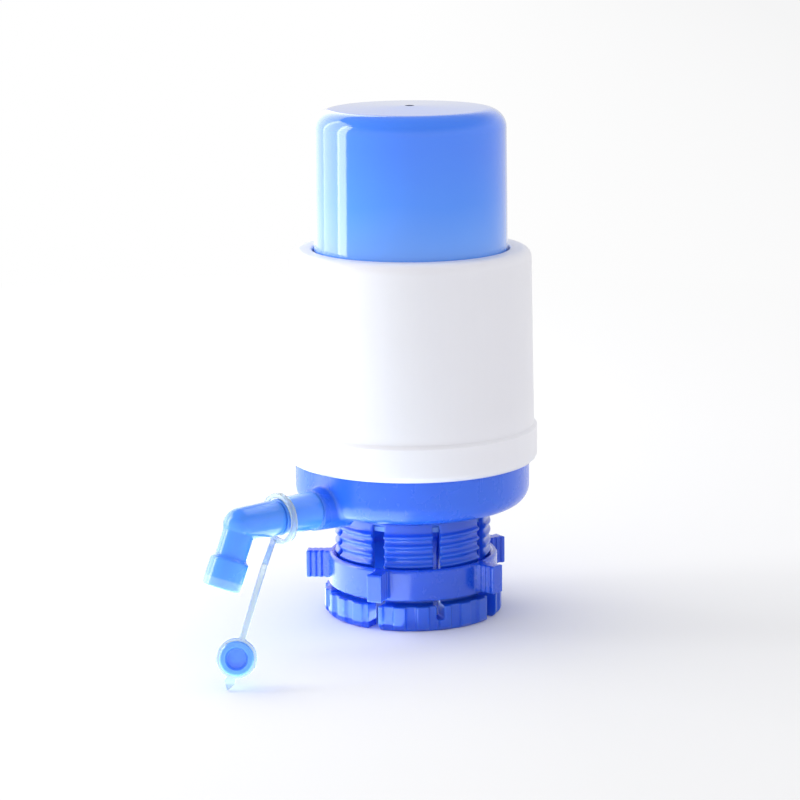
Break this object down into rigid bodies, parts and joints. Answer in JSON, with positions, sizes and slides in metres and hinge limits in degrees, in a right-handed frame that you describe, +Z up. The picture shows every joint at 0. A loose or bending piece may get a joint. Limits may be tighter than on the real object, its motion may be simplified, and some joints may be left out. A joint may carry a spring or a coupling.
{
  "type": "water jug hand pump",
  "caption": "Hand pump that clamps on a large water jug's neck: press cap over a bellows, swivelling elbow spout and a tethered dust cap.",
  "frame": {"origin": "on the pump axis at the bottom of the neck collet's foot, where the jug's neck enters", "axes": "+Z up along the pump axis, towards the press cap; the spout leaves at bearing -49 degrees about +Z from -Y, towards -X and -Y"},
  "size_m": [0.1349, 0.1685, 0.2102],
  "materials": {
    "azure_plastic": "glossy injection-moulded plastic",
    "deep_blue_plastic": "glossy injection-moulded plastic, deeper blue",
    "cap_blue_plastic": "polished injection-moulded plastic",
    "milky_plastic": "milky translucent plastic, satin to glossy",
    "clear_vinyl": "soft translucent vinyl",
    "bellows_plastic": "soft blown polyethylene",
    "white_rubber": "soft food-grade silicone"
  },
  "bodies": {
    "pump": {"pump_base": "azure_plastic", "neck_collet": "azure_plastic", "outer_housing": "milky_plastic", "spout_connector": "azure_plastic", "connector_o_ring": "white_rubber", "swivel_o_ring": "white_rubber", "jug_gasket": "white_rubber", "bellows": "bellows_plastic", "bellows_seal": "white_rubber", "bellows_clamp_ring": "milky_plastic", "outlet_valve_seat": "azure_plastic", "outlet_valve": "white_rubber"},
    "press_cap": {"press_cap": "cap_blue_plastic", "intake_valve_seat": "azure_plastic", "intake_valve": "white_rubber", "bellows_clip_ring": "milky_plastic"},
    "clamp_nut": {"clamp_nut": "deep_blue_plastic"},
    "spout": {"spout": "azure_plastic"},
    "tether": {"tether": "clear_vinyl", "dust_cap": "azure_plastic"}
  },
  "joints": [
    {"name": "press_stroke", "type": "slide", "parent": "pump", "child": "press_cap", "axis": [0, 0, -1], "range_m": [0, 0.045], "stiffness_N_per_m": 400, "springref_m": -0.01, "deforming": ["bellows"]},
    {"name": "nut_turn", "type": "hinge", "parent": "pump", "child": "clamp_nut", "pos_m": [0, 0, 0.0188], "axis": [0, 0, 1], "range_deg": [-180, 1440]},
    {"name": "spout_swivel", "type": "hinge", "parent": "pump", "child": "spout", "pos_m": [0, 0, 0.051], "axis": [-0.7547, -0.6561, 0], "range_deg": [-170, 25]},
    {"name": "tether_swing", "type": "hinge", "parent": "pump", "child": "tether", "pos_m": [0, 0, 0.051], "axis": [-0.7547, -0.6561, 0], "range_deg": [-10, 170]}
  ]
}
